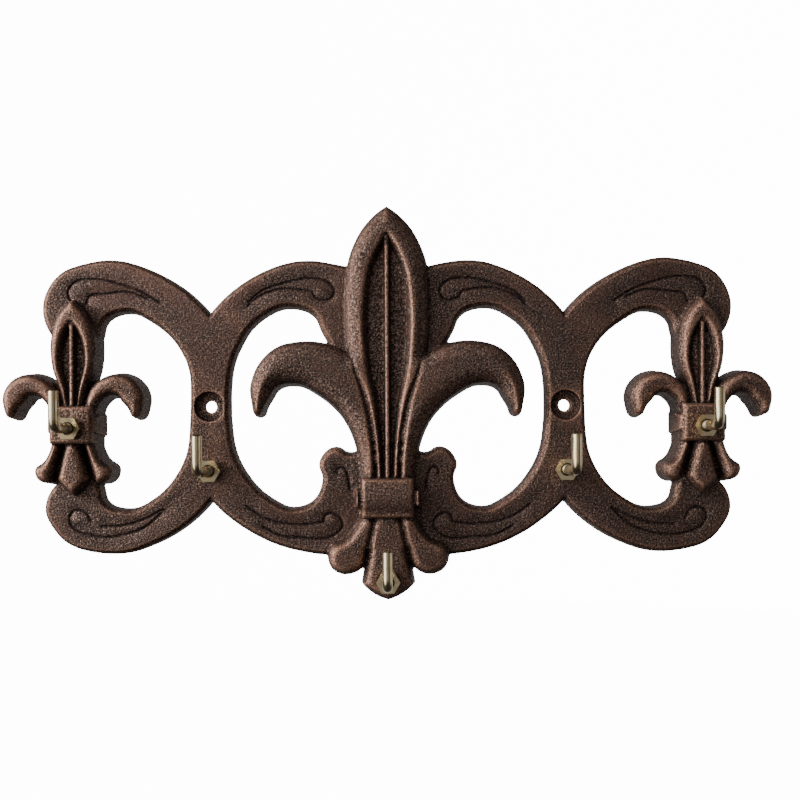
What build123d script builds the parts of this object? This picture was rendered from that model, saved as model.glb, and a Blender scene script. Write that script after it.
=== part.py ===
from build123d import *
import os

os.makedirs("parts", exist_ok=True)

# A sand-cast wall plate of two pairs of scroll rings and three fleurs-de-lis, with five screwed-in rod
# hooks and their nuts. It is built lying on its flat back: X runs along the plate, Y up the wall and Z out
# from the wall, and turned upright at the end. The origin is midway between the wall screws, on the back.

# The casting, in millimetres
PLATE_THICK = 8.0
RELIEF = 6.0
COLLAR_PROUD = 1.5
DRAFT = 5.0
RING_BEVEL = 1.5
RELIEF_BEVEL = 1.5
COLLAR_BEVEL = 1.0
GROOVE_DEPTH = 4.0
RIB_DROP = 0.8

# Where the rings and fleurs stand, from the origin
PILLAR_X = 74.7
END_X = 130.8
RING_TOP = 62.0
RING_BOTTOM = -62.4

# The two wall screws, in the pillars between the rings
SCREW_HOLE = 5.0
RECESS_WIDTH = 12.4
RECESS_DEPTH = 3.2

# The hooks, of round rod with a thread of the same size on the shank, and their nuts
ROD = 4.17
HOOK_REACH = 35.0
HOOK_RISE = 17.0
BEND_RADIUS = 4.2
TIP_CHAMFER = 0.5
THREAD_CLEARANCE = 0.05
NUT_ACROSS = 8.73
NUT_THICK = 3.2
NUT_CHAMFER = 0.5
CENTRE_HOOK_Y = -73.0
SIDE_HOOK_Y = -27.0
END_HOOK_Y = -9.0

RELIEF_TOP = PLATE_THICK + RELIEF
COLLAR_TOP = RELIEF_TOP + COLLAR_PROUD

# Each hook's middle on the plate and how far its nut's back stands from the wall
HOOK_PLACES = [
    (-END_X, END_HOOK_Y, COLLAR_TOP),
    (-PILLAR_X, SIDE_HOOK_Y, PLATE_THICK),
    (0, CENTRE_HOOK_Y, RELIEF_TOP),
    (PILLAR_X, SIDE_HOOK_Y, PLATE_THICK),
    (END_X, END_HOOK_Y, COLLAR_TOP),
]
HOOK_NAMES = ["left_end", "left", "centre", "right", "right_end"]


# Outlines


def heading(before, here, after):
    """The direction at here of the circle through three points that follow each other."""
    back, on = here - before, after - here
    return (back.normalized() * on.length + on.normalized() * back.length).normalized()


def mirrored(direction, chord):
    """A direction turned to the other side of a chord, as at the far end of an arc on it."""
    along = chord.normalized()
    return along * (2 * direction.dot(along)) - direction


def arc(start, direction, end):
    """An arc that leaves start in a direction, or a straight line where the end lies straight ahead."""
    if abs(direction.cross((end - start).normalized()).Z) < 1e-4:
        return Edge.make_line(start, end)
    return Edge.make_tangent_arc(start, direction, end)


def span(start, leaving, end, arriving):
    """Two arcs in line with each other that join two points in the given directions."""
    chord = end - start
    turn = 2 * (1 - leaving.dot(arriving))
    pull = 2 * chord.dot(leaving + arriving)
    if turn < 1e-9:
        reach = chord.dot(chord) / pull
    else:
        reach = (-pull + (pull**2 + 4 * turn * chord.dot(chord)) ** 0.5) / (2 * turn)
    near, far = start + leaving * reach, end - arriving * reach
    joint = (near + far) / 2
    return [arc(start, leaving, joint), arc(joint, (far - near).normalized(), end)]


def flow(*points, closed=False):
    """A smooth line of arcs through points, or a straight line between two, as a list of edges."""
    spots = [Vector(*point) for point in points]
    if len(spots) == 2:
        return [Edge.make_line(*spots)]
    if closed:
        spots = [spots[-1], *spots, spots[0], spots[1]]
    ways = [heading(*trio) for trio in zip(spots, spots[1:], spots[2:])]
    if closed:
        spots = spots[1:-1]
        ways.append(ways[0])
    else:
        ways.insert(0, mirrored(ways[0], spots[1] - spots[0]))
        ways.append(mirrored(ways[-1], spots[-1] - spots[-2]))
    edges = []
    for number in range(len(spots) - 1):
        edges += span(spots[number], ways[number], spots[number + 1], ways[number + 1])
    return edges


def outline(*flows):
    """A face inside flows that are joined, in order, by straight lines."""
    edges = []
    for number, stretch in enumerate(flows):
        edges += stretch
        end, start = stretch[-1] @ 1, flows[(number + 1) % len(flows)][0] @ 0
        if (start - end).length > 1e-6:
            edges.append(Edge.make_line(end, start))
    face = Face(Wire(edges))
    if face.normal_at().Z < 0:
        face = Face(Wire([edge.reversed() for edge in reversed(edges)]))
    return face


def raised(face, height, bevel):
    """Cast metal on the wall plane, with drafted walls and a bevel all round its front."""
    body = extrude(face, amount=height - bevel, taper=DRAFT)
    crest = body.faces().sort_by(Axis.Z)[-1]
    return body + extrude(crest, amount=bevel, taper=45)


def sunk(face, top, depth, taper):
    """A cutter as wide as the face at its top and narrower below."""
    block = extrude(face, amount=depth)
    walls = block.faces().filter_by(Axis.Z, reverse=True)
    return Pos(0, 0, top) * mirror(draft(walls, Plane.XY, taper), Plane.XY)


def both(shape):
    """A shape of the right half with its twin on the left."""
    return shape + mirror(shape, Plane.YZ)


# The scroll rings, right half, outlined on the wall plane and their openings on the front face


def outer_ring():
    upper = flow(
        (PILLAR_X - 5.5, RING_TOP - 30),
        (PILLAR_X + 15.4, RING_TOP - 8.6),
        (END_X - 8, RING_TOP),
        (END_X + 10.3, RING_TOP - 8.6),
        (END_X + 14.6, RING_TOP - 20.8),
        (END_X + 9.2, RING_TOP - 34),
    )
    lower = flow(
        (END_X + 9.2, RING_BOTTOM + 30.5),
        (END_X + 13.9, RING_BOTTOM + 20.7),
        (END_X + 8.5, RING_BOTTOM + 8.5),
        (PILLAR_X + 41.8, RING_BOTTOM),
        (PILLAR_X + 19, RING_BOTTOM + 6.3),
        (PILLAR_X - 5.5, RING_BOTTOM + 29),
    )
    return outline(upper, lower)


def inner_ring():
    upper = flow(
        (-2, RING_TOP - 9),
        (18, RING_TOP - 2.4),
        (36, RING_TOP - 0.2),
        (PILLAR_X - 18.7, RING_TOP - 6.6),
        (PILLAR_X + 5.5, RING_TOP - 31),
    )
    lower = flow(
        (PILLAR_X + 5.5, RING_BOTTOM + 29),
        (PILLAR_X - 12.2, RING_BOTTOM + 11.8),
        (45, RING_BOTTOM + 2.9),
        (26, RING_BOTTOM - 0.8),
        (-2, RING_BOTTOM + 1),
    )
    return outline(upper, lower)


def outer_opening():
    return outline(
        flow(
            (PILLAR_X + 8.2, -4),
            (PILLAR_X + 11.5, RING_BOTTOM + 38.5),
            (PILLAR_X + 22, RING_BOTTOM + 25),
            (END_X - 20.4, RING_BOTTOM + 19),
            (END_X - 12, RING_BOTTOM + 22),
            (END_X - 9.6, RING_BOTTOM + 29),
            (END_X - 9.6, RING_TOP - 33),
            (END_X - 12.4, RING_TOP - 25.2),
            (END_X - 20.3, RING_TOP - 21.8),
            (PILLAR_X + 22, RING_TOP - 27.5),
            (PILLAR_X + 11.4, RING_TOP - 39.5),
            closed=True,
        )
    )


def inner_opening():
    return outline(
        flow(
            (15, RING_BOTTOM + 42.4),
            (11, 2),
            (27, RING_TOP - 31),
            (31.2, RING_TOP - 23.1),
            (40, RING_TOP - 20),
            (PILLAR_X - 20, RING_TOP - 26),
            (PILLAR_X - 11.6, RING_TOP - 38),
            (PILLAR_X - 7.8, 0),
            (PILLAR_X - 13, RING_BOTTOM + 36.5),
            (PILLAR_X - 24, RING_BOTTOM + 24),
            (39, RING_BOTTOM + 19.3),
            (31, RING_BOTTOM + 22.6),
            (27.4, RING_BOTTOM + 30.7),
            (28.4, RING_BOTTOM + 39.6),
            (23.2, RING_BOTTOM + 44.6),
            closed=True,
        )
    )


def rings():
    """Both rings of the right half as one plate, open inside, with a bevelled front edge."""
    plate = extrude(outer_ring(), amount=PLATE_THICK, taper=DRAFT)
    plate += extrude(inner_ring(), amount=PLATE_THICK, taper=DRAFT)
    for opening in (outer_opening(), inner_opening()):
        plate -= sunk(opening, PLATE_THICK, PLATE_THICK, DRAFT)
    return chamfer(plate.edges().group_by(Axis.Z)[-1], RING_BEVEL)


# The fleurs-de-lis, outlined on the wall plane about their own axis, which is at X = 0


def mirror_outline(*points):
    """A face between a smooth line on the right, from the top down, and its twin on the left."""
    right = flow(*points)
    left = flow(*[(-x, y) for x, y in reversed(points)])
    return outline(right, left)


def blade(edge, trough, rib_top, rib_bottom, rib_width):
    """The middle leaf: a raised rim round a trough with sloping sides and a rib down it."""
    body = raised(mirror_outline(*edge), RELIEF_TOP, RELIEF_BEVEL)
    body -= sunk(mirror_outline(*trough), RELIEF_TOP, GROOVE_DEPTH, 25)
    floor = RELIEF_TOP - GROOVE_DEPTH - 1
    strip = Pos(0, (rib_top + rib_bottom) / 2, floor) * Rectangle(rib_width, rib_top - rib_bottom)
    return body + extrude(strip.face(), amount=RELIEF_TOP - RIB_DROP - floor)


def collar(half_width, top, bottom, step):
    """The band tied round a fleur, with a wider middle."""
    middle, height = (top + bottom) / 2, top - bottom
    band = Pos(0, middle) * Rectangle(2 * half_width, height)
    bulge = Pos(0, middle) * Rectangle(2 * (half_width + step), height / 2)
    body = raised(band.face(), COLLAR_TOP, COLLAR_BEVEL)
    return body + raised(bulge.face(), COLLAR_TOP - 0.6, COLLAR_BEVEL)


def centre_blade():
    edge = (0, 84.4), (8.6, 77.5), (16, 64.5), (18.1, 50), (17.4, 24), (8.4, -4), (5.6, -33)
    trough = (0, 72), (6.6, 60.5), (9.8, 42), (9.5, 22), (5.2, -4), (3.3, -31)
    return blade(edge, trough, 66, -32, 1.6)


def centre_petal():
    edge = flow(
        (12.4, 20),
        (24, 26.4),
        (36, 28),
        (48.2, 24.6),
        (56.4, 15),
        (58.2, 3.6),
        (53.8, -4.8),
        (49.4, 1.5),
        (45, 7.4),
        (38.5, 8.4),
        (29, 4),
        (19, -5.5),
        (13.9, -17),
        (12.4, -33),
    )
    inner = flow((4.4, -33), (6.9, -3), (11.8, 15))
    return raised(outline(edge, inner), RELIEF_TOP, RELIEF_BEVEL)


def foot(middle, lobe):
    """The tip and the two lobes below a collar."""
    return raised(middle, RELIEF_TOP, RELIEF_BEVEL) + both(raised(lobe, RELIEF_TOP, RELIEF_BEVEL))


def centre_foot():
    middle = outline(
        flow((6, -44), (11.6, -74.8)),
        flow((11.6, -74.8), (6.5, -79.2), (0, -82)),
        flow((0, -82), (-6.5, -79.2), (-11.6, -74.8)),
        flow((-11.6, -74.8), (-6, -44)),
    )
    side = flow((11.6, -44), (16, -52.4), (25.6, -60.4), (25, -67.4), (17.4, -71.4), (8.6, -65))
    return foot(middle, outline(side, flow((8.6, -65), (3.6, -44))))


def centre_fleur():
    waist = Pos(0, -2) * Rectangle(20, 60)
    core = extrude(waist.face(), amount=PLATE_THICK)
    fleur = centre_blade() + both(centre_petal())
    return fleur + core + centre_foot() + collar(12.1, -29, -48, 2.5)


def end_blade():
    edge = (0, 46), (6.6, 39.5), (10.2, 29), (10, 18), (5.8, 4), (4.8, -4)
    trough = (0, 36.3), (4.2, 30), (6, 22), (3.4, 5), (2.6, -2)
    return blade(edge, trough, 34, -3, 1.4)


def end_petal():
    edge = flow(
        (6.2, 7.8),
        (13, 13.6),
        (19, 14.8),
        (26.6, 11.6),
        (30.4, 2),
        (25.6, -5.6),
        (20.8, 0),
        (16.2, 3.8),
        (12.6, 1.6),
        (10.8, -4),
    )
    return raised(outline(edge, flow((3.2, -4), (4.8, 4.5))), RELIEF_TOP, RELIEF_BEVEL)


def end_foot():
    middle = outline(
        flow((3.4, -12), (7.6, -30)),
        flow((7.6, -30), (4.4, -34.6), (0, -38)),
        flow((0, -38), (-4.4, -34.6), (-7.6, -30)),
        flow((-7.6, -30), (-3.4, -12)),
    )
    side = flow((9.6, -12), (12, -20.4), (17.2, -26.4), (15, -31.4), (8.6, -32))
    return foot(middle, outline(side, flow((8.6, -32), (2.4, -12))))


def end_fleur():
    waist = Pos(0, 10) * Rectangle(13, 30)
    core = extrude(waist.face(), amount=PLATE_THICK)
    fleur = end_blade() + both(end_petal())
    return fleur + core + end_foot() + collar(10.2, 1.5, -16.6, 1.2)


# The whole casting


def casting():
    """Rings and fleurs as one piece, bored for the hooks and the wall screws."""
    plate = both(rings())
    plate += centre_fleur()
    for end in (Pos(END_X, 0) * end_fleur(), Pos(-END_X, 0) * end_fleur()):
        plate += end
    bore = ROD / 2 + THREAD_CLEARANCE
    for x, y, _ in HOOK_PLACES:
        plate -= Pos(x, y, COLLAR_TOP / 2) * Cylinder(bore, 2 * COLLAR_TOP)
    for x in (-PILLAR_X, PILLAR_X):
        plate -= Pos(x, 0) * Cylinder(SCREW_HOLE / 2, 4 * PLATE_THICK)
        plate -= Pos(x, 0, PLATE_THICK) * Cylinder(RECESS_WIDTH / 2, 2 * RECESS_DEPTH)
    return plate


# Hooks and nuts, each made at the origin with the shank's end on the wall plane


def hook():
    """Rod that stands out from the plate and is bent up."""
    bend = Edge.make_three_point_arc(
        (0, 0, HOOK_REACH - BEND_RADIUS),
        (0, BEND_RADIUS * (1 - 0.5**0.5), HOOK_REACH - BEND_RADIUS * (1 - 0.5**0.5)),
        (0, BEND_RADIUS, HOOK_REACH),
    )
    shank = Edge.make_line((0, 0, 0), bend @ 0)
    leg = Edge.make_line(bend @ 1, (0, HOOK_RISE - ROD / 2, HOOK_REACH))
    rod = sweep(Circle(ROD / 2), path=Wire([shank, bend, leg]))
    tip = rod.edges().group_by(Axis.Y)[-1]
    return chamfer(tip, TIP_CHAMFER)


def nut():
    """A hexagon nut whose corners are turned off on both faces."""
    blank = extrude(RegularPolygon(NUT_ACROSS / 2, 6, major_radius=False), amount=NUT_THICK)
    corner = NUT_ACROSS / 3**0.5
    bar = Pos(0, 0, NUT_THICK / 2) * Cylinder(corner, NUT_THICK)
    turned = chamfer(bar.edges().filter_by(GeomType.CIRCLE), NUT_CHAMFER)
    return (blank & turned) - Cylinder(ROD / 2 + THREAD_CLEARANCE, 3 * NUT_THICK)


def save(shape, name):
    """Stands a piece upright against the wall and writes it."""
    export_step(Rot(90, 0, 0) * shape, f"parts/{name}.step")


save(casting(), "cast_plate")
for (x, y, seat), name in zip(HOOK_PLACES, HOOK_NAMES):
    save(Pos(x, y) * hook(), f"hook_{name}")
    save(Pos(x, y, seat) * nut(), f"nut_{name}")
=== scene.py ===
import math

import bmesh
import bpy
import numpy as np
from mathutils import Matrix, Vector, kdtree, noise
from mathutils.geometry import interpolate_bezier


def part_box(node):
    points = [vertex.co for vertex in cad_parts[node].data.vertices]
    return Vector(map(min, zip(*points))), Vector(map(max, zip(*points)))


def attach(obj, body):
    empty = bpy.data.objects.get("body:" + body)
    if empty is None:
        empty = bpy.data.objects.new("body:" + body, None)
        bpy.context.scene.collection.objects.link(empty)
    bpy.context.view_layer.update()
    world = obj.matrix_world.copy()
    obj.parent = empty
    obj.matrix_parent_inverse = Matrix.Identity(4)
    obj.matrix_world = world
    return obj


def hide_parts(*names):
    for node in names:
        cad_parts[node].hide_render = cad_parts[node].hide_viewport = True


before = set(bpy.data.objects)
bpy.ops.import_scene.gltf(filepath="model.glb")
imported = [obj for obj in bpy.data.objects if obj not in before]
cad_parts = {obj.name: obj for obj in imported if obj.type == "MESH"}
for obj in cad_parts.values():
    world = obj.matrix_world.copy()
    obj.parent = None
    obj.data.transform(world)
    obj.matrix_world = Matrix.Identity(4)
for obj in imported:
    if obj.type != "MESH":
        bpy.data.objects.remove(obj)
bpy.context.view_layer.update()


# The casting: scroll rings and three fleurs-de-lis poured in sand as one iron plate. Its edges are soft
# and slightly wavy from the mould, double scroll lines are cut into the rings, and the dark brown antique
# coat is rubbed back to copper on the edges and crests. It takes the place of the plain CAD casting.

# How finely the surface is rebuilt and how often it is smoothed.
GRID = 0.00036
SOFTEN = 7
CROWN = 3
WORN = 50
PLATE_TRIANGLES = 150000
MERGE = 2e-6

# Where the relief, its walls, the necks, the feet and the collars are, and how far they round over.
END_X = 0.1308
PLATE_FRONT = -0.008
RELIEF, RELIEF_HEAD = 0.006, -0.0142
WALL_FOOT, WALL_HEAD, WALL_LEAN = -0.0094, -0.0137, -0.55
NECK_FOOT, NECK_HEAD, NECK_HALF = -0.034, -0.003, 0.0098
FEET_HEAD, ENDS_FROM = -0.042, 0.1
DOME_REACH, DOME_DROP = 0.0068, 0.0030
SMALL_REACH, SMALL_DROP = 0.0036, 0.0018
TROUGH_REACH, TROUGH_DROP, TROUGH_RIM = 0.0016, 0.0006, 0.9
COLLAR_BACK, COLLAR_REACH, COLLAR_DROP = -0.0140, 0.0034, 0.0012
MIDDLE_COLLAR_Z, MIDDLE_COLLAR_TALL, MIDDLE_COLLAR_HALF = -0.0385, 0.0098, 0.0121
END_COLLAR_Z, END_COLLAR_TALL, END_COLLAR_HALF = -0.00755, 0.0093, 0.0102
SPARE = 0.0001

# The cut lines, the blades' ribs, the band round the middle collar, the mould's waves and the worn crests.
CUT_WIDTH = 0.00062
CUT_DEPTH = 0.00055
LINE_REACH, LINE_STEP, LEVEL = 0.0015, 0.00004, 0.0003
RIB_FOOT, RIB_RISE, RIB_BACK, RIB_RIM = -0.0100, 0.0030, -0.0083, 0.3
BAND_FOOT, BAND_HEAD, BAND_HALF, BAND_BACK = -43.6, -33.4, 15, -0.0130
BAND_RISE, EAR_FROM, EAR_RISE = 0.0004, 12, 0.0009
SWELL, RIPPLE, SHRINK = 0.00010, 0.00005, 0.00008
SWELL_SCALE, RIPPLE_SCALE = 120, 420
BACK_FLAT = -0.0008
PROUD = 0.0004

# Each blade's hollow in millimetres: its middle, then some heights and half its width there.
TROUGHS = [
    (0, [-31, -4, 22, 42, 60.5, 72], [3.3, 5.2, 9.5, 9.8, 6.6, 0]),
    (END_X * 1000, [-2, 5, 22, 30, 36.3], [2.6, 3.4, 6, 4.2, 0]),
]

# The cut lines of the right half and the blades' ribs, as points across and up in millimetres.
SCROLL_LINES = [
    [(131.5, 43), (133.6, 48), (130, 52.8), (121, 53.6), (112, 51.6), (103.5, 48.6), (95, 43.6)],
    [(126, 43.2), (124.4, 46.6), (117, 47.6), (108.5, 48.2), (100, 45.4)],
    [
        (124.4, -47.6), (127, -43.8), (131.6, -43.4), (133.4, -47.4), (129.6, -52), (118, -54.4),
        (103, -51), (93.6, -43.2),
    ],
    [(120, -50), (111, -49.6), (102.6, -47.2), (94, -43)],
    [
        (58, 43.6), (53, 48), (46.6, 50.6), (35, 53.4), (26, 52.6), (22, 48.4), (24.4, 44.6),
        (29.6, 45.2), (31.4, 47.8),
    ],
    [(58.4, 42), (54.4, 45.6), (48, 48.4), (41.4, 49.2), (32, 48.2)],
    [(59.4, -41.6), (53, -46), (46.6, -48.4), (36.4, -49.6), (27, -48.6)],
    [
        (52.4, -50.4), (44.6, -54.2), (36, -55), (25.6, -55.4), (19.4, -51.2), (19.6, -47.6),
        (23, -45), (26, -45.6), (27, -48.6),
    ],
    [(21.2, -28.6), (21.2, -26.5), (18.3, -26), (16.6, -30.2), (15.8, -35.3)],
]
RIBS = [[(0, 72.6), (0, 20), (0, -30)], [(130.8, 35.6), (130.8, 16), (130.8, -1)]]


def mesh_of(shape, name):
    """Turns a finished bmesh into a mesh."""
    mesh = bpy.data.meshes.new(name)
    shape.to_mesh(mesh)
    shape.free()
    return mesh


def shown(name, data):
    """Puts a mesh, a light or a camera in the scene as an object."""
    piece = bpy.data.objects.new(name, data)
    bpy.context.collection.objects.link(piece)
    return piece


def set_in(piece):
    """Makes a piece's modifiers part of its mesh."""
    seen = bpy.context.evaluated_depsgraph_get()
    piece.data = bpy.data.meshes.new_from_object(piece.evaluated_get(seen))
    piece.modifiers.clear()


def smoothed(piece, times):
    """Relaxes a piece's surface, which rounds its edges."""
    relax = piece.modifiers.new("relax", "SMOOTH")
    relax.factor = 0.5
    relax.iterations = times
    set_in(piece)


def in_troughs(points, rim):
    """Which points stand in the hollow of one of the three blades, inside a rim in millimetres."""
    x = np.abs(points[:, 0]) * 1000
    z = points[:, 2] * 1000
    inside = np.zeros(len(points), bool)
    for centre, heights, halves in TROUGHS:
        between = np.abs(x - centre) < np.interp(z, heights, halves) - rim
        inside |= between & (z > heights[0]) & (z < heights[-1])
    return inside


def off(points, marks, chosen):
    """How far each chosen point is from the nearest marked one, seen from the front."""
    tree = kdtree.KDTree(int(marks.sum()))
    for number, (x, _, z) in enumerate(points[marks]):
        tree.insert((x, 0, z), number)
    tree.balance()
    far = np.ones(len(points))
    for number in np.flatnonzero(chosen):
        x, _, z = points[number]
        far[number] = tree.find((x, 0, z))[2]
    return far


def spots(mesh):
    """A mesh's points as rows of three numbers."""
    rows = np.empty(len(mesh.vertices) * 3)
    mesh.vertices.foreach_get("co", rows)
    return rows.reshape(-1, 3)


def facing(mesh):
    """The normal at each of a mesh's points."""
    rows = np.empty(len(mesh.vertices) * 3)
    mesh.vertex_normals.foreach_get("vector", rows)
    return rows.reshape(-1, 3)


def along(points):
    """Close-set points on a smooth line through the given ones."""
    knots = [Vector((x / 1000, z / 1000, 0)) for x, z in points]
    ends = [knots[0] * 2 - knots[1], *knots, knots[-1] * 2 - knots[-2]]
    line = []
    for before, here, there, after in zip(ends, ends[1:], ends[2:], ends[3:]):
        reach = (there - here).length / 3
        leave, arrive = (there - before).normalized() * reach, (after - here).normalized() * reach
        line += interpolate_bezier(here, here + leave, there - arrive, there, max(4, int(reach / LINE_STEP)))
    return line


def carry(mesh, name, values):
    """Keeps one number for each point of a mesh, for its material."""
    layer = mesh.attributes.new(name, "FLOAT", "POINT")
    layer.data.foreach_set("value", np.asarray(values, np.float32))


def traced(points, lines, width, chosen):
    """How far each chosen point is from the lines or their twins on the left, up to a width."""
    marks = [point for line in lines for point in along(line)]
    tree = kdtree.KDTree(2 * len(marks))
    for number, mark in enumerate(marks):
        tree.insert(mark, 2 * number)
        tree.insert(Vector((-mark.x, mark.y, 0)), 2 * number + 1)
    tree.balance()
    far = np.full(len(points), width)
    for number in np.flatnonzero(chosen):
        x, _, z = points[number]
        far[number] = min(width, tree.find((x, z, 0))[2])
    return far


def crown(points, normals):
    """Lets the relief fall away in a dome towards its walls and, less, towards the blades' hollows."""
    across, front, up = np.abs(points[:, 0]), points[:, 1], points[:, 2]
    wall = (normals[:, 1] > WALL_LEAN) & (front < WALL_FOOT) & (front > WALL_HEAD)
    neck = (across < NECK_HALF) & (up > NECK_FOOT) & (up < NECK_HEAD)
    hollow = in_troughs(points, -TROUGH_RIM) | neck
    floor = np.mean([in_troughs(points, rim) for rim in (0.1, 0.4, 0.7, 1.0)], axis=0)
    raised = (front < PLATE_FRONT) & (front > RELIEF_HEAD)
    small = (up < FEET_HEAD) | (across > ENDS_FROM)
    outer = 1 - off(points, wall & ~hollow, raised) / np.where(small, SMALL_REACH, DOME_REACH)
    inner = 1 - off(points, wall & hollow, raised) / TROUGH_REACH
    fall = np.where(small, SMALL_DROP, DOME_DROP) * np.clip(outer, 0, 1) ** 2
    fall = (fall + TROUGH_DROP * np.clip(inner, 0, 1) ** 2) * (1 - floor)
    points[:, 1] += fall * np.clip((PLATE_FRONT - points[:, 1]) / RELIEF, 0, 1) * raised


def barrel(points):
    """Rounds the three collars over towards their sides."""
    across, up = np.abs(points[:, 0]), points[:, 2]
    aside = np.abs(across - END_X)
    middle = (np.abs(up - MIDDLE_COLLAR_Z) < MIDDLE_COLLAR_TALL) & (across < MIDDLE_COLLAR_HALF + SPARE)
    end = (np.abs(up - END_COLLAR_Z) < END_COLLAR_TALL) & (aside < END_COLLAR_HALF + SPARE)
    inset = np.where(middle, MIDDLE_COLLAR_HALF - across, END_COLLAR_HALF - aside)
    front = (middle | end) * (points[:, 1] < COLLAR_BACK)
    points[:, 1] += front * COLLAR_DROP * np.clip(1 - inset / COLLAR_REACH, 0, 1) ** 2


def engrave(mesh):
    """Cuts the scroll lines, draws up the blades' ribs and lifts the band round the middle collar."""
    points = spots(mesh)
    across = np.abs(points[:, 0]) * 1000
    up = points[:, 2] * 1000
    cut = traced(points, SCROLL_LINES, LINE_REACH, np.abs(points[:, 1] - PLATE_FRONT) < LEVEL)
    floor = (points[:, 1] < RIB_BACK) & in_troughs(points, -RIB_RIM)
    rib = 1 - (traced(points, RIBS, LINE_REACH, floor) / LINE_REACH) ** 4
    ridge = np.where(rib > 0, RIB_FOOT - RIB_RISE * rib, 0)
    band = (across < BAND_HALF) & (up > BAND_FOOT) & (up < BAND_HEAD) & (points[:, 1] < BAND_BACK)
    sunk = points[:, 1] + np.clip(1 - cut / CUT_WIDTH, 0, 1) * CUT_DEPTH
    points[:, 1] = np.minimum(sunk, ridge) - band * np.where(across < EAR_FROM, BAND_RISE, EAR_RISE)
    mesh.vertices.foreach_set("co", points.ravel())
    carry(mesh, "line", cut * 1000)


def ripple(mesh):
    """Gives the faces the slight waves that a sand mould leaves."""
    points, normals = spots(mesh), facing(mesh)
    for number in np.flatnonzero(points[:, 1] < BACK_FLAT):
        place = Vector(points[number])
        swell = noise.noise(place * SWELL_SCALE) * SWELL + noise.noise(place * RIPPLE_SCALE) * RIPPLE
        points[number] += normals[number] * (swell - SHRINK)
    mesh.vertices.foreach_set("co", points.ravel())


blank = bmesh.new()
blank.from_mesh(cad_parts["cast_plate"].data)
bmesh.ops.remove_doubles(blank, verts=blank.verts, dist=MERGE)
plate = shown("scroll_plate", mesh_of(blank, "scroll_plate"))
mould = plate.modifiers.new("mould", "REMESH")
mould.mode = "VOXEL"
mould.voxel_size = GRID
set_in(plate)
smoothed(plate, SOFTEN)
points = spots(plate.data)
crown(points, facing(plate.data))
barrel(points)
plate.data.vertices.foreach_set("co", points.ravel())
smoothed(plate, CROWN)

# What stands proud of a well-worn copy is where the coat rubs through, and what lies lower gets painted
# shade and dirt.
rubbed = shown("rubbed", plate.data.copy())
smoothed(rubbed, WORN)
proud = ((spots(plate.data) - spots(rubbed.data)) * facing(plate.data)).sum(axis=1)
bpy.data.objects.remove(rubbed)
carry(plate.data, "proud", np.clip(proud / PROUD, -1, 1))

engrave(plate.data)
thin = plate.modifiers.new("thin", "DECIMATE")
thin.ratio = min(1, PLATE_TRIANGLES / (2 * len(plate.data.polygons)))
set_in(plate)
ripple(plate.data)
plate.data.shade_smooth()


def nodes_of(material):
    """A material's bare node tree and its shader."""
    tree = material.node_tree
    tree.nodes.clear()
    shader = tree.nodes.new("ShaderNodeBsdfPrincipled")
    output = tree.nodes.new("ShaderNodeOutputMaterial")
    tree.links.new(shader.outputs["BSDF"], output.inputs["Surface"])
    return tree, shader


def add(tree, kind, settings=None, **inputs):
    """A node with its settings, and its inputs set or linked by name."""
    made = tree.nodes.new("ShaderNode" + kind)
    for name, value in (settings or {}).items():
        setattr(made, name, value)
    for name, value in inputs.items():
        socket = made.inputs[int(name[1:])] if name[0] == "i" and name[1:].isdigit() else made.inputs[name]
        if isinstance(value, bpy.types.NodeSocket):
            tree.links.new(value, socket)
        else:
            socket.default_value = value
    return made


def mixed(tree, amount, low, high):
    """One colour turning to another by an amount."""
    blend = add(tree, "Mix", {"data_type": "RGBA"}, Factor=amount)
    for socket, value in zip((blend.inputs[6], blend.inputs[7]), (low, high)):
        if isinstance(value, bpy.types.NodeSocket):
            tree.links.new(value, socket)
        else:
            socket.default_value = (*value, 1)
    return blend.outputs[2]


def ramped(tree, value, low, high, start=0.0, end=1.0):
    """A value taken from one range to another and held inside it."""
    return add(
        tree, "MapRange", {"interpolation_type": "SMOOTHSTEP"},
        Value=value, i1=low, i2=high, i3=start, i4=end,
    ).outputs[0]


def math_of(tree, operation, first, second):
    """Two values joined by an operation."""
    return add(tree, "Math", {"operation": operation}, i0=first, i1=second).outputs[0]


# The coat's colours. The last one is painted shade, with some dirt, for the hollows and the cut lines.
DARK_COAT, BROWN_COAT = (0.012, 0.008, 0.007), (0.095, 0.061, 0.049)
COPPER_SPECKS, RUBBED_COPPER = (0.290, 0.195, 0.148), (0.450, 0.240, 0.162)
RED_CLOUD, SHADE_AND_DIRT = (0.090, 0.044, 0.031), (0.010, 0.006, 0.007)

antique = bpy.data.materials.new("antique_copper")
antique.use_nodes = True
tree, shader = nodes_of(antique)
place = add(tree, "TexCoord").outputs["Object"]
grit = add(tree, "TexNoise", Vector=place, Scale=1650, Detail=2, Roughness=0.6).outputs["Fac"]
grains = add(tree, "TexVoronoi", Vector=place, Scale=1500, Randomness=1.0).outputs["Distance"]
cloud = add(tree, "TexNoise", Vector=place, Scale=75, Detail=4, Roughness=0.6).outputs["Fac"]
drift = add(tree, "TexNoise", Vector=place, Scale=16, Detail=2, Roughness=0.5).outputs["Fac"]
crest = add(tree, "Attribute", {"attribute_name": "proud"}).outputs["Fac"]
line = ramped(tree, add(tree, "Attribute", {"attribute_name": "line"}).outputs["Fac"], 0.50, 0.26)

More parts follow.
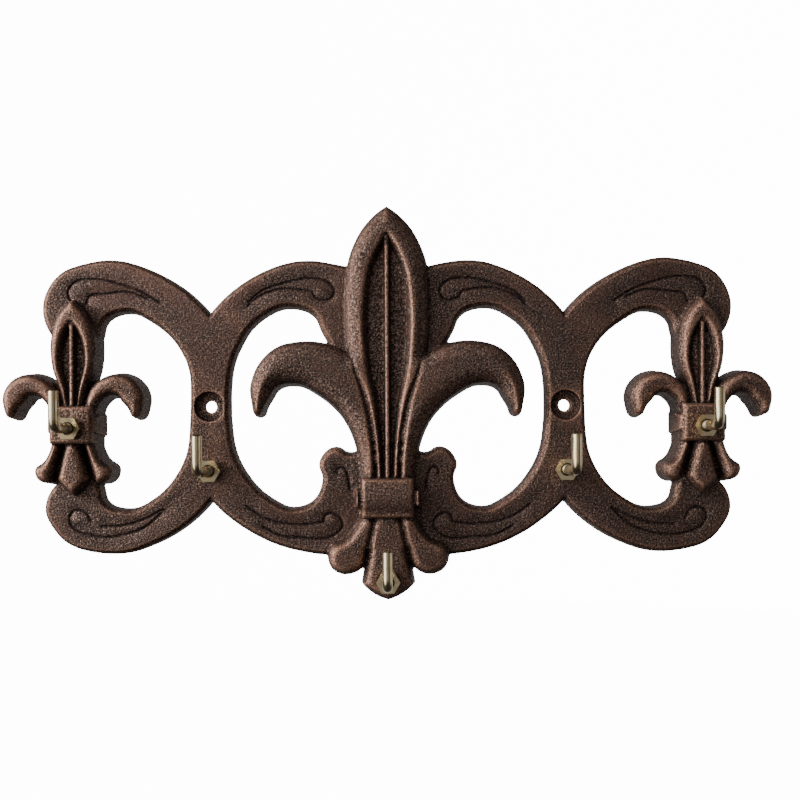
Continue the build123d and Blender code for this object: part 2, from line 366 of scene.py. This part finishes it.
coat = mixed(tree, ramped(tree, grit, 0.38, 0.55), DARK_COAT, BROWN_COAT)
coat = mixed(tree, ramped(tree, grit, 0.54, 0.66), coat, COPPER_SPECKS)
coat = mixed(tree, ramped(tree, cloud, 0.42, 0.70, 0, 0.45), coat, RED_CLOUD)
patches = ramped(tree, drift, 0.3, 0.7, 0.6, 1)
uneven = math_of(tree, "MULTIPLY", ramped(tree, grit, 0.34, 0.58, 0.3, 1), patches)
bright = math_of(tree, "MULTIPLY", ramped(tree, crest, 0.02, 0.60, 0, 0.85), uneven)
coat = mixed(tree, bright, coat, RUBBED_COPPER)
# Painted shade, with some dirt, in what lies lower than the worn copy and in the cut lines. It also roughens
# them.
lines_shade = math_of(tree, "MULTIPLY", line, 0.65)
shade_and_dirt = math_of(tree, "MAXIMUM", ramped(tree, crest, -0.35, -1.0, 0, 0.62), lines_shade)
coat = mixed(tree, shade_and_dirt, coat, SHADE_AND_DIRT)
tree.links.new(coat, shader.inputs["Base Color"])
dull = math_of(tree, "MULTIPLY", shade_and_dirt, 0.9)
rough = math_of(tree, "MAXIMUM", ramped(tree, grit, 0.35, 0.65, 0.62, 0.40), dull)
tree.links.new(rough, shader.inputs["Roughness"])
shader.inputs["Metallic"].default_value = 0.85
height = math_of(tree, "SUBTRACT", grit, math_of(tree, "MULTIPLY", grains, 0.4))
height = math_of(tree, "SUBTRACT", height, math_of(tree, "MULTIPLY", line, 2.6))
bump = add(tree, "Bump", Height=height, Strength=1.0, Distance=0.00036)
tree.links.new(bump.outputs["Normal"], shader.inputs["Normal"])
plate.data.materials.clear()
plate.data.materials.append(antique)
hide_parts("cast_plate")
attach(plate, "root")


# The hooks: five lengths of steel rod with a rolled thread on the shank, bent up at a right angle and cut
# off square, then plated in brass. Each is screwed through the casting from the front.

ROD = 0.002085
ROD_SIDES = 36
BEND, BEND_STEPS = 0.0042, 12
PITCH, CORE, TURN_STEPS = 0.00079, 0.00163, 24
THREAD_IN, THREAD_OUT = 0.0012, 0.0036
CHAMFER = 0.00045
# How dark the painted shade over the thread is at its crests, and how much more in its roots.
CREST_SHADE, ROOT_SHADE = 0.66, 0.9
PLACES = ("left_end", "left", "centre", "right", "right_end")
# Bright and dull brass, and the dark colour of the painted shade in the thread.
BRIGHT_BRASS, DULL_BRASS, THREAD_SHADE = (0.86, 0.72, 0.46), (0.66, 0.50, 0.28), (0.030, 0.021, 0.012)

plated = bpy.data.materials.new("plated_brass")
plated.use_nodes = True
tree, shader = nodes_of(plated)
place = add(tree, "TexCoord").outputs["Object"]
smear = add(tree, "TexNoise", Vector=place, Scale=260, Detail=4, Roughness=0.55).outputs["Fac"]
brush = add(
    tree, "TexNoise", Scale=1.0, Detail=3,
    Vector=add(tree, "Mapping", Vector=place, Scale=(2200, 2200, 160)).outputs[0],
).outputs["Fac"]
tone = mixed(tree, ramped(tree, smear, 0.35, 0.7), BRIGHT_BRASS, DULL_BRASS)
# Painted shade darkens the thread and dulls it.
thread_shade = add(tree, "Attribute", {"attribute_name": "thread_shade"}).outputs["Fac"]
tone = mixed(tree, thread_shade, tone, THREAD_SHADE)
tree.links.new(tone, shader.inputs["Base Color"])
dulled = math_of(tree, "MULTIPLY", thread_shade, 0.3)
polish = math_of(tree, "ADD", ramped(tree, smear, 0.3, 0.7, 0.16, 0.34), dulled)
tree.links.new(polish, shader.inputs["Roughness"])
shader.inputs["Metallic"].default_value = 1.0
bump = add(tree, "Bump", Height=brush, Strength=0.25, Distance=0.00004)
tree.links.new(bump.outputs["Normal"], shader.inputs["Normal"])


def pulled(rod, ring, centre, push, radius=None):
    """Draws the end of a rod on by a push, to a new radius, and gives its new end."""
    made = bmesh.ops.extrude_edge_only(rod, edges=ring)["geom"]
    points = [part for part in made if isinstance(part, bmesh.types.BMVert)]
    if radius:
        width = (points[0].co - centre).length
        bmesh.ops.scale(rod, verts=points, vec=(radius / width,) * 3, space=Matrix.Translation(-centre))
    bmesh.ops.translate(rod, verts=points, vec=push)
    return [part for part in made if isinstance(part, bmesh.types.BMEdge)], centre + Vector(push)


def dressed(name, shape, node, crease):
    """Turns a finished shape into a plated piece that is shown in place of its CAD node."""
    mesh = mesh_of(shape, name)
    mesh.shade_smooth()
    mesh.set_sharp_from_angle(angle=math.radians(crease))
    mesh.materials.append(plated)
    piece = shown(name, mesh)
    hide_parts(node)
    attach(piece, "root")
    return piece


def hook(name, seat):
    """A hook whose nut's front stands at seat, in its own place."""
    low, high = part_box("hook_" + name)
    reach, rise = -low.y - ROD, high.z - low.z - ROD
    axis = Vector(((low.x + high.x) / 2, 0, low.z + ROD))
    thread_from, thread_to = seat - THREAD_IN, seat + THREAD_OUT
    rod = bmesh.new()
    ring = bmesh.ops.create_circle(rod, segments=ROD_SIDES, radius=ROD - CHAMFER)["verts"]
    bmesh.ops.rotate(rod, verts=ring, matrix=Matrix.Rotation(math.radians(90), 3, "X"))
    bmesh.ops.contextual_create(rod, geom=ring)
    ring, centre = rod.edges[:], Vector()
    for depth, radius in (
        (CHAMFER, ROD), (thread_from, ROD), (thread_from, CORE),
        (thread_to, CORE), (thread_to + CHAMFER, ROD), (reach - BEND, ROD),
    ):
        ring, centre = pulled(rod, ring, centre, (0, -depth - centre.y, 0), radius)
    turned = bmesh.ops.spin(
        rod, geom=ring, cent=(0, BEND - reach, BEND), axis=(1, 0, 0),
        angle=math.radians(-90), steps=BEND_STEPS, use_merge=False, use_duplicate=False,
    )["geom_last"]
    ring = [part for part in turned if isinstance(part, bmesh.types.BMEdge)]
    centre = Vector((0, -reach, BEND))
    for height, radius in ((rise - CHAMFER, ROD), (rise, ROD - CHAMFER)):
        ring, centre = pulled(rod, ring, centre, (0, 0, height - centre.z), radius)
    bmesh.ops.contextual_create(rod, geom=ring)

    profile = ((CORE - SPARE, 0), (ROD, PITCH / 2), (CORE - SPARE, PITCH))
    ridge = [rod.verts.new((x, -thread_from - y, 0)) for x, y in profile]
    edges = [rod.edges.new(pair) for pair in zip(ridge, ridge[1:])]
    turns = int((thread_to - thread_from) / PITCH)
    bmesh.ops.spin(
        rod, geom=ridge + edges, cent=(0, 0, 0), axis=(0, 1, 0), dvec=(0, -PITCH / TURN_STEPS, 0),
        angle=math.radians(360 * turns), steps=TURN_STEPS * turns, use_duplicate=False,
    )
    bmesh.ops.recalc_face_normals(rod, faces=rod.faces)
    bmesh.ops.translate(rod, verts=rod.verts, vec=axis)

    piece = dressed("rod_" + name, rod, "hook_" + name, crease=38)
    points = spots(piece.data) - np.array(axis)
    # Painted shade over the thread, darkest in its roots.
    sunken = (ROD - np.hypot(points[:, 0], points[:, 2])) / (ROD - CORE)
    on_shank = (points[:, 1] < -thread_from) & (points[:, 2] < ROD + SPARE)
    threaded = on_shank & (points[:, 1] > -thread_to - CHAMFER)
    carry(piece.data, "thread_shade", threaded * np.clip(CREST_SHADE + ROOT_SHADE * sunken, 0, 1))


for name in PLACES:
    hook(name, -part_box("nut_" + name)[0].y)


# The nuts: five hexagon nuts with their corners turned off, plated as the hooks are, and run down the
# shanks until they lock against the casting.

NUT_SIDES = 72
FACE_SHARE = 0.87
CORNER_SLOPE = 0.55
SINK_WIDE, SINK_DEEP = 0.0006, 0.00055
PLAY = 0.00003


def nut(name):
    """A hexagon nut in its own place, flat against the casting, with a countersunk hole."""
    low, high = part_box("nut_" + name)
    half, thick = min(high.x - low.x, high.z - low.z) / 2, high.y - low.y
    lean = math.radians(0 if high.x - low.x > high.z - low.z else 30)
    hole, face = ROD + PLAY, half * FACE_SHARE
    block = bmesh.new()
    ring = bmesh.ops.create_circle(block, segments=NUT_SIDES, radius=hole)["verts"]
    bmesh.ops.rotate(block, verts=ring, matrix=Matrix.Rotation(math.radians(90), 3, "X"))
    ring, centre = block.edges[:], Vector()
    for depth, radius, six in (
        (0, face, 0), (0, half, 1), (thick, half, -1), (thick, face, 0),
        (thick, hole + SINK_WIDE, 0), (thick - SINK_DEEP, hole, 0), (0, hole, 0),
    ):
        ring, centre = pulled(block, ring, centre, (0, -depth - centre.y, 0), radius)
        for point in {point for edge in ring for point in edge.verts}:
            turn = math.atan2(point.co.z, point.co.x)
            from_flat = (turn + lean) % math.radians(60) - math.radians(30)
            wide = half / math.cos(from_flat) if six else radius
            point.co.x, point.co.z = wide * math.cos(turn), wide * math.sin(turn)
            point.co.y -= six * (wide - face) * CORNER_SLOPE
    bmesh.ops.remove_doubles(block, verts=block.verts, dist=1e-6)
    bmesh.ops.recalc_face_normals(block, faces=block.faces)
    bmesh.ops.translate(block, verts=block.verts, vec=((low.x + high.x) / 2, high.y, (low.z + high.z) / 2))
    dressed("hexagon_" + name, block, "nut_" + name, crease=20)


for name in PLACES:
    nut(name)


# The pale floor and the paper all round it, the soft lights and the camera, which stood close in front
# and a little low. The paper is seen only by the camera, so it lights nothing.

PAPER_GLOW = 14
ROOM, FLOOR_WIDE, FLOOR_LOW = 4, 3.9, -0.7
WINDOW_WAY, SPREAD = (-0.80, -0.59, 0.08), (1, 1, 0.45)

paper = bpy.data.materials.new("paper")
paper.use_nodes = True
tree, shader = nodes_of(paper)
shader.inputs["Base Color"].default_value = (0.9, 0.9, 0.9, 1)
shader.inputs["Roughness"].default_value = 0.9
shader.inputs["Emission Color"].default_value = (1, 1, 1, 1)
shader.inputs["Emission Strength"].default_value = PAPER_GLOW
sheet = bmesh.new()
bmesh.ops.create_circle(
    sheet, cap_ends=True, segments=64, radius=FLOOR_WIDE, matrix=Matrix.Translation((0, 0, FLOOR_LOW)),
)
bmesh.ops.create_uvsphere(sheet, u_segments=64, v_segments=32, radius=ROOM)
backdrop = shown("backdrop", mesh_of(sheet, "backdrop"))
backdrop.data.shade_smooth()
backdrop.data.materials.append(paper)
backdrop.visible_diffuse = False
backdrop.visible_glossy = False
backdrop.visible_shadow = False


def lamp(name, place, size, power):
    """A soft square light that looks at the key holder."""
    light = bpy.data.lights.new(name, "AREA")
    light.shape = "SQUARE"
    light.size = size
    light.energy = power
    stand = shown(name, light)
    stand.location = place
    stand.rotation_euler = (-Vector(place)).to_track_quat("-Z", "Y").to_euler()


lamp("window", place=(-2.0, -0.53, 0.67), size=0.9, power=66)
lamp("ceiling", place=(-0.1, -0.8, 1.2), size=0.6, power=4)
world = bpy.data.worlds.new("room")
bpy.context.scene.world = world
world.use_nodes = True
tree = world.node_tree
look = add(tree, "TexCoord").outputs["Generated"]
way = add(tree, "SeparateXYZ", Vector=look)
level = add(tree, "VectorMath", {"operation": "MULTIPLY"}, i0=look, i1=SPREAD).outputs["Vector"]
level = add(tree, "VectorMath", {"operation": "NORMALIZE"}, i0=level).outputs["Vector"]
toward = add(tree, "VectorMath", {"operation": "DOT_PRODUCT"}, i0=level, i1=WINDOW_WAY).outputs["Value"]
left = ramped(tree, toward, 0.84, 0.98, 0.02, 2.9)
right = ramped(tree, way.outputs["X"], 0.70, 0.97, 0, 0.5)
front = ramped(tree, way.outputs["Y"], -0.75, -1, 0, 0.25)
behind = ramped(tree, way.outputs["Y"], 0.45, 0.95, 0, 0.55)
glow = math_of(tree, "ADD", math_of(tree, "ADD", left, behind), math_of(tree, "ADD", right, front))
backing = tree.nodes["Background"]
backing.inputs["Color"].default_value = (1, 1, 1, 1)
tree.links.new(glow, backing.inputs["Strength"])

lens = bpy.data.cameras.new("camera")
lens.lens = 46.2
lens.shift_x = -0.0015
lens.shift_y = 0.0497
camera = shown("camera", lens)
camera.location = (0.00567, -0.438, -0.0143)
camera.rotation_euler = (math.radians(90), math.radians(0.3), 0)
bpy.context.scene.camera = camera
